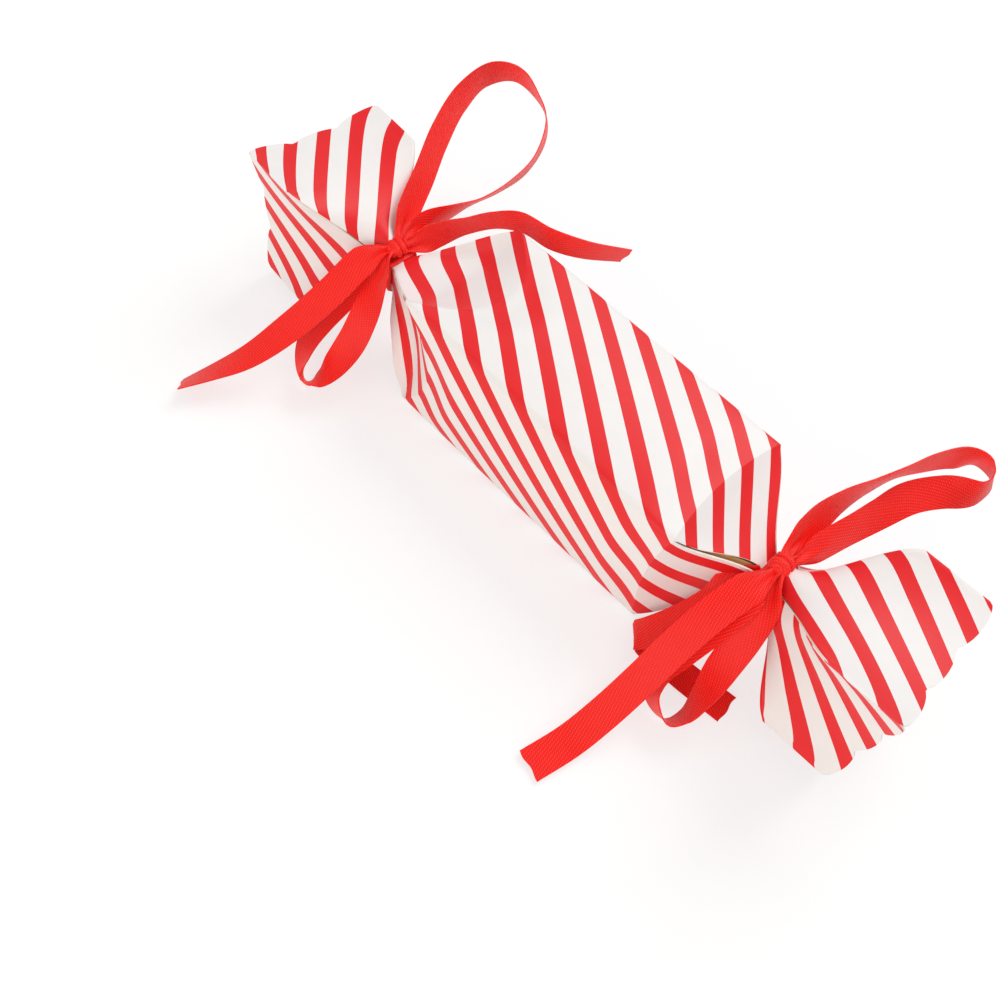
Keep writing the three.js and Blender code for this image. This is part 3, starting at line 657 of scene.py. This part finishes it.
# One stretch: pleated and narrow at the knot, flat further out, with a frayed end where it is cut
def buildRibbon(name, stations, neck, isLoop, cupSide, pleatTurn):
    frames = routeFrames(stations, neck, isLoop)
    length = frames[-1][3]

    def placeOf(row, column):
        middle, across, normal, at = frames[row]
        v = 2 * column / ribbon["columns"] - 1
        toKnot = min(at, length - at) if isLoop else at
        spread = smooth(toKnot / ribbon["gatherLength"])
        width = ribbon["gatheredWidth"] + (ribbon["width"] - ribbon["gatheredWidth"]) * spread
        pleat = ribbon["pleat"] * (1 - smooth(toKnot / ribbon["pleatLength"])) ** ribbon["pleatSharpness"]
        cup = ribbon["cup"] * (1 - smooth(toKnot / ribbon["cupLength"])) * smooth(toKnot / ribbon["cupStart"])
        wave = math.sin(ribbon["pleatWaves"] * math.pi * v + pleatTurn)
        lift = pleat * wave + cupSide * cup * (ribbon["cupLevel"] - v * v)
        point = middle + across * (v * width / 2) + normal * lift
        if not isLoop and row == len(frames) - 1:
            back = (middle - frames[row - 1][0]).normalized()
            ragged = 0.5 + 0.5 * math.sin(column * ribbon["frayBeat"] + length)
            point = point - back * (ribbon["fray"] * ragged)
        return point, (v * ribbon["width"] / 2, at)
    piece = shapedGrid(name, len(frames) - 1, ribbon["columns"], placeOf)
    addWall(piece, ribbon["thickness"], 0)
    applyAll(piece)
    bpy.ops.object.shade_smooth_by_angle(angle=math.radians(ribbon["smoothAngle"]))
    return piece, length


# Woven polyester ribbon: raised floats in slanting rows, so it looks ribbed; the small stitches carry a
# painted highlight in a lighter red
weave = {
    "rowPitch": 0.95, "stitch": 0.62,  # mm; the real thread is finer, this is as coarse as it shows
    "rowSlant": 0.36,  # rows' rise for each mm across
    "ground": ("F40E0A", "FF1710"), "clouds": 0.25,  # to the mm: clouds of 4 mm
    # The float colour is a painted highlight: a lighter red laid on the raised stitches where the float
    # pattern is high
    "float": "FF5240", "highlightFrom": 0.35, "bump": 0.7, "relief": 0.00012,
    "plain": {"Roughness": 0.46, "Specular IOR Level": 0.3, "Sheen Weight": 0.1, "Sheen Roughness": 0.4},
}


def wovenRibbon():
    material, tree, shader = newMaterial("wovenRedRibbon")
    flat = addNode(tree, "ShaderNodeUVMap", {"uv_map": "flatSheet"})
    place = addNode(tree, "ShaderNodeSeparateXYZ", links={0: flat.outputs[0]})

    def wave(*rates):  # 0 to 1 and back, at rates in turns to the mm across and along the ribbon
        parts = []
        for i, rate in enumerate(rates):
            parts.append(addNode(tree, "ShaderNodeMath", {"operation": "MULTIPLY", 1: 2 * math.pi * rate},
                                 {0: place.outputs[i]}))
        both = addNode(tree, "ShaderNodeMath", {"operation": "ADD"}, {i: parts[i].outputs[0] for i in (0, 1)})
        sine = addNode(tree, "ShaderNodeMath", {"operation": "SINE"}, {0: both.outputs[0]})
        return addNode(tree, "ShaderNodeMapRange", {1: -1.0, 2: 1.0, 3: 0.0, 4: 1.0}, {0: sine.outputs[0]})

    rows = wave(1 / weave["rowPitch"], weave["rowSlant"] / weave["rowPitch"])
    stitches = wave(0.5 / weave["rowPitch"], 1 / weave["stitch"])
    floats = addNode(tree, "ShaderNodeMath", {"operation": "MULTIPLY"},
                     {0: rows.outputs[0], 1: stitches.outputs[0]})
    cloud = addNode(tree, "ShaderNodeTexNoise", {"Scale": weave["clouds"], "Detail": 2.0},
                    {"Vector": flat.outputs[0]})
    dark, light = [hexColour(text) for text in weave["ground"]]
    ground = addNode(tree, "ShaderNodeMix", {"data_type": "RGBA", 6: dark, 7: light}, {0: cloud.outputs[0]})
    # Painted highlight: the float pattern lightens the ground red towards the float colour on the raised
    # stitches
    paintedStitchHighlight = addNode(tree, "ShaderNodeMapRange", {1: weave["highlightFrom"], 2: 1.0, 3: 0.0, 4: 1.0},
                     {0: floats.outputs[0]})
    colour = addNode(tree, "ShaderNodeMix", {"data_type": "RGBA", 7: hexColour(weave["float"])},
                     {0: paintedStitchHighlight.outputs[0], 6: ground.outputs[2]})
    finishMaterial(tree, shader, colour, floats, weave)
    return material


ribbonCloth = wovenRibbon()

# The turn round the neck: a band with four rounded corners and pleats across its width
turnShape = {
    "inside": 5.5, "clearance": 0.35, "corner": 1.0, "width": 7, "thickness": 0.3,
    "pleat": 0.25, "pleatWaves": 3, "sides": 96, "columns": 14,
}


def buildTurn(name, neck):
    sides, columns = turnShape["sides"], turnShape["columns"]
    reach = turnShape["inside"] + turnShape["clearance"]
    corner = turnShape["corner"]
    straight = 2 * (reach - corner)
    quarter = straight + corner * math.pi / 2
    length = 4 * quarter

    def placeOf(row, column):
        at = (row % sides) / sides * length
        side, rest = int(at // quarter), at % quarter
        if rest <= straight:
            y, z, ny, nz = rest - straight / 2, reach, 0.0, 1.0
        else:
            angle = (rest - straight) / corner
            ny, nz = math.sin(angle), math.cos(angle)
            y, z = straight / 2 + corner * ny, reach - corner + corner * nz
        for _ in range(side):
            y, z, ny, nz = z, -y, nz, -ny
        v = 2 * column / columns - 1
        lift = turnShape["pleat"] * math.cos(turnShape["pleatWaves"] * math.pi * v)
        x = v * turnShape["width"] / 2
        point = Vector((neck[0] + x, neck[1] + y + ny * lift, neck[2] + z + nz * lift))
        return point, (v * ribbon["width"] / 2, row / sides * length)
    piece = shapedGrid(name, sides, columns, placeOf)
    weld(piece)
    addWall(piece, turnShape["thickness"], 0)
    applyAll(piece)
    bpy.ops.object.shade_smooth_by_angle(angle=math.radians(ribbon["smoothAngle"]))
    return piece, length


# The knot: a short band of ribbon pulled tight round the bow, creased into rolls that run round it
knotShape = {
    "wide": 6.8, "long": 7.4, "high": 5, "rise": 8.9, "girth": 19,
    "square": 2.6, "endSquare": 3.2, "endRound": 0.42,  # how boxy it is round its middle and at its ends
    "rolls": 3, "rollSlant": 0.16, "rollWave": 0.13, "groove": 0.31, "grooveSharpness": 1.6,
    "lump": 0.06, "lean": 0.5, "leanTurn": 0.6, "sides": 84, "columns": 44,
}


def buildKnot(name, neck, twist):
    sides, columns = knotShape["sides"], knotShape["columns"]
    middle = Vector(neck) + Vector((0, 0, knotShape["rise"]))

    def placeOf(row, column):
        angle = 2 * math.pi * (row % sides) / sides
        v = 2 * column / columns - 1
        square = knotShape["square"]
        reach = (abs(math.cos(angle)) ** square + abs(math.sin(angle)) ** square) ** (-1 / square)
        slanted = v + knotShape["rollSlant"] * math.sin(angle + twist)
        roll = knotShape["rolls"] * slanted / 2 + knotShape["rollWave"] * math.sin(2 * angle + twist)
        crease = abs(math.sin(math.pi * roll))  # sharp in the valleys, round on the rolls
        groove = knotShape["groove"] * (1 - crease) ** knotShape["grooveSharpness"]
        lump = knotShape["lump"] * v * math.sin(2 * angle + twist)
        barrel = (1 - abs(v) ** knotShape["endSquare"]) ** knotShape["endRound"]
        reach *= barrel * (1 - groove - lump)
        x = math.cos(angle) * reach * knotShape["wide"] / 2
        z = math.sin(angle) * reach * knotShape["high"] / 2
        lean = knotShape["lean"] * math.sin(angle + knotShape["leanTurn"]) * (1 - v * v)
        point = middle + Vector((x, v * knotShape["long"] / 2 + lean, z))
        return point, (v * ribbon["width"] / 2, row / sides * knotShape["girth"])
    piece = shapedGrid(name, sides, columns, placeOf)
    weld(piece, outwards=True)
    bpy.ops.object.shade_smooth()
    return piece


for word, bow, twist in (("left", leftBow, 0.4), ("right", rightBow, 2.1)):
    neck = neckPlace(ends[word])
    body = word + "_end"
    turnPiece, turnLength = buildTurn(word + "RibbonTurn", neck)
    knotPiece = buildKnot(word + "Knot", neck, twist)
    for piece, node in ((turnPiece, "_ribbon_turn"), (knotPiece, "_knot")):
        dress(piece, ribbonCloth)
        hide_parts(word + node)
        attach(piece, body)
    for count, (stretch, stations) in enumerate(bow.items()):
        pieceName = word + "".join(part.capitalize() for part in stretch.split("_"))
        isLoop = stretch.endswith("loop")
        cupSide = -1 if stretch == "long_tail" else 1
        piece, length = buildRibbon(pieceName, stations, neck, isLoop, cupSide,
                                    ribbon["pleatShift"] * count + ribbon["pleatStart"])
        dress(piece, ribbonCloth)
        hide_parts(f"{word}_{stretch}")
        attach(piece, body)
        print(f"{pieceName}: {length:.0f} mm of ribbon")
print("bows tied")

# What closes the box and what snaps: gummed brown tape, grey strips and a dull sleeve, all matt and fibrous
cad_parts["seam_tape"].data.materials[0] = kraftBoard("gummedKraftTape", "B5894F", "CDA66C")
for name in ("snap_strip_left", "snap_strip_right"):
    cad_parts[name].data.materials[0] = kraftBoard("greyBoard", "B3AB9C", "D2CBBD")
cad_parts["snap_sleeve"].data.materials[0] = kraftBoard("snapPaper", "A39882", "C2B79F")

# Soy wax, poured and moulded: waxy satin skin, a little light in it, faint marbling
waxLook = {
    "marbles": 90, "pores": 900,  # to the metre: clouds of 11 mm, pores of 1 mm
    "swirl": 1.6, "spread": (0.3, 0.72), "bump": 0.12, "relief": 0.0001,
    "plain": {"Roughness": 0.38, "Subsurface Weight": 0.15, "Subsurface Scale": 0.002},
}


def soyWax(name, dark, light):
    material, tree, shader = newMaterial(name)
    where = addNode(tree, "ShaderNodeTexCoord")
    marble = addNode(tree, "ShaderNodeTexNoise",
                     {"Scale": waxLook["marbles"], "Detail": 4.0, "Distortion": waxLook["swirl"]},
                     {"Vector": where.outputs["Object"]})
    low, high = waxLook["spread"]
    spread = addNode(tree, "ShaderNodeMapRange", {1: low, 2: high, 3: 0.0, 4: 1.0}, {0: marble.outputs[0]})
    colour = addNode(tree, "ShaderNodeMix", {"data_type": "RGBA", 6: hexColour(dark), 7: hexColour(light)},
                     {0: spread.outputs[0]})
    skin = addNode(tree, "ShaderNodeTexNoise", {"Scale": waxLook["pores"], "Detail": 3.0},
                   {"Vector": where.outputs["Object"]})
    finishMaterial(tree, shader, colour, skin, waxLook)
    return material


# The gingerbread figure lies on its back, its head towards -X; a and b are across and up the figure
figure = {
    "height": 54, "width": 46, "thick": 12, "x": 10, "floor": 0.8,
    "headShare": 0.235, "limbShare": 0.115, "footShare": 0.27,  # radii of the height, feet of the width
    "armDrop": 0.55, "hipRise": 2.2, "torso": 1.5,  # in limb radii, as the next four
    "torsoTop": -0.4, "torsoEnd": 0.9, "legIn": 0.7, "legTop": 0.6,
    "faceDown": 3.2, "faceFade": 2.4,  # how far below the top the relief starts, and its slope
    "barSides": 72, "voxel": 0.4, "edgeRounds": 16, "edgeSoftness": 0.5,
}
figure["head"] = figure["height"] * figure["headShare"]
figure["limb"] = figure["height"] * figure["limbShare"]
figure["headUp"] = figure["height"] / 2 - figure["head"]
figure["armUp"] = figure["headUp"] - figure["head"] - figure["limb"] * figure["armDrop"]
figure["armEnd"] = figure["width"] / 2 - figure["limb"]
figure["hipUp"] = -figure["height"] / 2 + figure["limb"] * figure["hipRise"]
figure["footOut"] = figure["width"] * figure["footShare"]
figure["footUp"] = -figure["height"] / 2 + figure["limb"]
# The moulded face and trim, in mm
relief = {
    "eyeOut": 3.9, "eyeUp": 0.9, "eyeRadius": 1.15, "eyeDepth": 0.8,
    "noseDown": 2.0, "noseRadius": 1.25, "noseEdge": 0.6, "noseDepth": 0.6, "noseSquash": 0.8,
    "smileDown": 0.6, "smileRadius": 5.6, "smileEnd": 0.14, "smileHalf": 0.6, "smileDepth": 0.85,
    "buttons": 3, "buttonsDown": 0.4, "buttonStep": 4.9, "buttonRadius": 2.15, "buttonDepth": 0.75,
    "ringRadius": 2.6, "ringHalf": 0.4, "ringHeight": 0.25,
    "cuffOut": 0.4, "cuffWave": 0.5, "cuffReach": 7, "cuffDepth": 0.8, "trimHalf": 0.55,
    "soleIn": 7, "soleInUp": 0.4, "soleOut": 6, "soleOutUp": 4.6, "soleDepth": 0.75,
    "bodySink": 1.5, "headSink": 0.9, "headInset": 0.2, "headEdge": 0.5,
}


def figurePlace(a, b, t):
    return Vector((figure["x"] - b, a, figure["floor"] + t)) / 1000


def roundBar(start, stop, radius, thick):  # a slab with round ends between two points of the figure
    parts = []
    for a, b in (start, stop):
        deselectAll()
        bpy.ops.mesh.primitive_cylinder_add(vertices=figure["barSides"], radius=radius / 1000,
                                            depth=thick / 1000, location=figurePlace(a, b, thick / 2))
        parts.append(bpy.context.object)
    run = Vector((stop[0] - start[0], stop[1] - start[1]))
    if run.length > 0:
        deselectAll()
        middle = figurePlace((start[0] + stop[0]) / 2, (start[1] + stop[1]) / 2, thick / 2)
        turn = math.atan2(run.x, -run.y)
        bpy.ops.mesh.primitive_cube_add(size=1, location=middle, rotation=(0, 0, turn),
                                        scale=(run.length / 1000, 2 * radius / 1000, thick / 1000))
        parts.append(bpy.context.object)
    return parts


def nearSegment(a, b, start, stop):  # distance from a point of the figure to a line on it
    p, q = Vector(start), Vector(stop)
    along = clamp((Vector((a, b)) - p).dot(q - p) / (q - p).length_squared)
    return (Vector((a, b)) - p - (q - p) * along).length


def dent(distance, radius, edge=0.35):  # 1 inside, 0 outside
    return 1 - smooth((distance - radius + edge) / (2 * edge))


# How far the moulded face is sunk at a place: dotted eyes and nose, smile, buttons, cuffs and soles
def faceDepth(a, b):
    up = b - figure["headUp"]
    depth = 0.0
    for side in (-1, 1):
        eye = math.hypot(a - side * relief["eyeOut"], up - relief["eyeUp"])
        depth += relief["eyeDepth"] * dent(eye, relief["eyeRadius"])
    nose = math.hypot(a * relief["noseSquash"], up + relief["noseDown"])
    depth += relief["noseDepth"] * dent(nose, relief["noseRadius"], relief["noseEdge"])
    angle = math.atan2(up + relief["smileDown"], a) / math.pi
    if relief["smileEnd"] - 1 < angle < -relief["smileEnd"]:
        smile = abs(math.hypot(a, up + relief["smileDown"]) - relief["smileRadius"])
        depth += relief["smileDepth"] * dent(smile, relief["smileHalf"])
    for count in range(relief["buttons"]):
        button = math.hypot(a, b - figure["armUp"] + relief["buttonsDown"] + relief["buttonStep"] * count)
        depth += relief["buttonDepth"] * dent(button, relief["buttonRadius"])
        depth -= relief["ringHeight"] * dent(abs(button - relief["ringRadius"]), relief["ringHalf"])
    for side in (-1, 1):
        if abs(b - figure["armUp"]) < relief["cuffReach"]:
            cuff = a - side * (figure["armEnd"] + relief["cuffOut"]) - relief["cuffWave"] * math.sin(b)
            depth += relief["cuffDepth"] * dent(abs(cuff), relief["trimHalf"])
        foot = side * figure["footOut"]
        inner = (foot - side * relief["soleIn"], figure["footUp"] + relief["soleInUp"])
        outer = (foot + side * relief["soleOut"], figure["footUp"] + relief["soleOutUp"])
        depth += relief["soleDepth"] * dent(nearSegment(a, b, inner, outer), relief["trimHalf"])
    inHead = dent(math.hypot(a, up), figure["head"] - relief["headInset"], relief["headEdge"])
    crown = 1 - (a ** 2 + up ** 2) / figure["head"] ** 2
    return depth + (1 - inHead) * relief["bodySink"] + inHead * relief["headSink"] * (1 - clamp(crown))


def buildGingerbread():
    limb, thick = figure["limb"], figure["thick"]
    parts = roundBar((0, figure["headUp"]), (0, figure["headUp"]), figure["head"], thick)
    parts += roundBar((-figure["armEnd"], figure["armUp"]), (figure["armEnd"], figure["armUp"]), limb, thick)
    parts += roundBar((0, figure["armUp"] + limb * figure["torsoTop"]),
                      (0, figure["hipUp"] + limb * figure["torsoEnd"]), limb * figure["torso"], thick)
    for side in (-1, 1):
        parts += roundBar((side * limb * figure["legIn"], figure["hipUp"] + limb * figure["legTop"]),
                          (side * figure["footOut"], figure["footUp"]), limb, thick)
    piece = joinPieces("gingerbreadMelt", parts)
    bpy.ops.object.transform_apply(location=True, rotation=True, scale=True)
    skin = piece.modifiers.new("skin", "REMESH")
    skin.mode = "VOXEL"
    skin.voxel_size = figure["voxel"] / 1000
    rounding = piece.modifiers.new("rounding", "SMOOTH")
    rounding.factor = figure["edgeSoftness"]
    rounding.iterations = figure["edgeRounds"]
    applyAll(piece)
    top = figure["floor"] + figure["thick"]
    for vertex in piece.data.vertices:
        place = vertex.co * 1000
        face = smooth((place.z - top + figure["faceDown"]) / figure["faceFade"])
        if face > 0:
            vertex.co.z -= face * faceDepth(place.y, figure["x"] - place.x) / 1000
    bpy.ops.object.shade_smooth()
    return piece


# The candy cane lies on the figure: a round bar bent into a hook, with two grooves that wind round it
cane = {
    "length": 62, "hook": 31, "bar": 12.4, "tip": 6, "x": 12, "z": 19.3, "step": 0.45, "sides": 64,
    "endRound": 2.4, "endFlat": 0.55, "endSteps": 8,  # an end's rounding, and the flat share of its radius
    "grooves": 2, "grooveLead": 19, "grooveSlant": 0.8, "grooveWide": 0.62, "grooveDeep": 0.75,
}
cane["bend"] = (cane["hook"] - cane["bar"]) / 2
cane["straight"] = cane["length"] - cane["bar"] / 2 - cane["bend"]
cane["low"] = -cane["length"] / 2 + cane["bar"] / 4
cane["total"] = cane["straight"] + math.pi * cane["bend"] + cane["tip"]


def caneRoute(at):  # a point of the bar's middle line and its direction, in the cane's own plane
    bend, crook = cane["bend"], cane["low"] + cane["straight"]
    if at <= cane["straight"]:
        return Vector((-bend, cane["low"] + at)), Vector((0, 1))
    angle = (at - cane["straight"]) / bend
    if angle > math.pi:
        return Vector((bend, crook - (at - cane["straight"] - math.pi * bend))), Vector((0, -1))
    ahead = Vector((math.sin(angle), math.cos(angle)))
    return Vector((-bend * ahead.y, crook + bend * ahead.x)), ahead


def buildCane():
    total, rounding, steps = cane["total"], cane["endRound"], cane["endSteps"]
    rounds = [rounding * (1 - math.cos(math.pi / 2 * i / steps)) for i in range(steps + 1)]
    inner = round((total - 2 * rounding) / cane["step"])
    stops = rounds + [rounding + (total - 2 * rounding) * i / inner for i in range(1, inner)]
    stops += [total - r for r in reversed(rounds)]

    def placeOf(row, column):
        at = stops[row]
        middle, ahead = caneRoute(at)
        side = Vector((ahead.y, -ahead.x))
        angle = 2 * math.pi * (column % cane["sides"]) / cane["sides"]
        fromEnd = clamp(min(at, total - at) / rounding)
        rounded = math.sqrt(1 - (1 - fromEnd) ** 2)
        share = cane["endFlat"] + (1 - cane["endFlat"]) * rounded if fromEnd > 0 else 0
        turns = (at / cane["grooveLead"] - angle / (2 * math.pi)) * cane["grooves"]
        away = abs(turns - round(turns)) * cane["grooveLead"] / cane["grooves"] * cane["grooveSlant"]
        groove = cane["grooveDeep"] * math.exp(-(away / cane["grooveWide"]) ** 2) * fromEnd
        radius = cane["bar"] / 2 * share - groove
        across = middle + side * radius * math.cos(angle)
        place = Vector((cane["x"] - across.y, across.x, cane["z"] + radius * math.sin(angle)))
        return place, (at, angle * cane["bar"] / 2)
    piece = shapedGrid("candyCaneMelt", len(stops) - 1, cane["sides"], placeOf)
    weld(piece, outwards=True)
    bpy.ops.object.shade_smooth()
    return piece


gingerbreadWax = soyWax("gingerbreadWax", "A8713A", "CF9C5C")
candyCaneWax = soyWax("candyCaneWax", "C63A42", "E0575A")
for piece, name, wax in ((buildGingerbread(), "gingerbread", gingerbreadWax),
                         (buildCane(), "candy_cane", candyCaneWax)):
    dress(piece, wax)
    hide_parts(name + "_melt")
    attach(piece, name)
print("melts and snap dressed")

# Floor, lamps and room, in metres and watts
light = {
    "room": 0.48, "keyPlace": (0.02, 0.78, 0.98), "keySize": 0.75, "keyPower": 8.7,
    "fillPlace": (0.15, -1.15, 0.45), "fillSize": 1.0, "fillPower": 7.6, "fillColour": "FFF3EA",
    "aim": (0, 0, 0.03),
}
table = {
    "size": 6, "below": 0.0002, "glow": 0.67, "seen": 0.36,  # its own light and its lit tone to the camera
    "tone": (0.8, 0.79, 0.77), "roughness": 0.9,  # its tone to the object's other light
}
bpy.ops.mesh.primitive_plane_add(size=table["size"], location=(0, 0, -table["below"]))
floor = bpy.context.object
floor.name = "floor"
# White table top: to the camera most of its brightness is its own, so that it is white with pale shadows
floorMaterial, floorTree, floorShader = newMaterial("paleTable")
path = addNode(floorTree, "ShaderNodeLightPath")
glossy = addNode(floorTree, "ShaderNodeMath", {"operation": "MAXIMUM"},
                 {0: path.outputs["Is Camera Ray"], 1: path.outputs["Is Glossy Ray"]})
seen = addNode(floorTree, "ShaderNodeMath", {"operation": "MAXIMUM"},
               {0: glossy.outputs[0], 1: path.outputs["Is Transmission Ray"]})
tone = addNode(floorTree, "ShaderNodeMix",
               {"data_type": "RGBA", 6: (*table["tone"], 1), 7: (*[table["seen"]] * 3, 1)},
               {0: seen.outputs[0]})
floorTree.links.new(tone.outputs[2], floorShader.inputs["Base Color"])
floorTree.links.new(seen.outputs[0], floorShader.inputs["Emission Strength"])
floorShader.inputs["Emission Color"].default_value = (*[table["glow"]] * 3, 1)
floorShader.inputs["Roughness"].default_value = table["roughness"]
floorShader.inputs["Specular IOR Level"].default_value = 0.0
dress(floor, floorMaterial)

# White room: the camera sees it as white behind the floor, and it lights the object at its own strength
world = bpy.data.worlds.new("softRoom")
world.use_nodes = True
scene.world = world
roomPath = addNode(world.node_tree, "ShaderNodeLightPath")
roomStrength = addNode(world.node_tree, "ShaderNodeMath", {"operation": "MAXIMUM", 1: light["room"]},
                       {0: roomPath.outputs["Is Camera Ray"]})
background = world.node_tree.nodes["Background"]
background.inputs["Color"].default_value = (1, 1, 1, 1)
world.node_tree.links.new(roomStrength.outputs[0], background.inputs["Strength"])


def addLamp(name, place, size, power, colour="FFFFFF"):
    bpy.ops.object.light_add(type="AREA", location=place)
    lamp = bpy.context.object
    lamp.name = name
    lamp.data.energy = power
    lamp.data.size = size
    lamp.data.color = hexColour(colour)[:3]
    lamp.rotation_euler = (Vector(light["aim"]) - Vector(place)).to_track_quat("-Z", "Y").to_euler()


addLamp("key", light["keyPlace"], light["keySize"], light["keyPower"])
addLamp("fill", light["fillPlace"], light["fillSize"], light["fillPower"], light["fillColour"])
scene.view_settings.view_transform = "Standard"
print("lit")
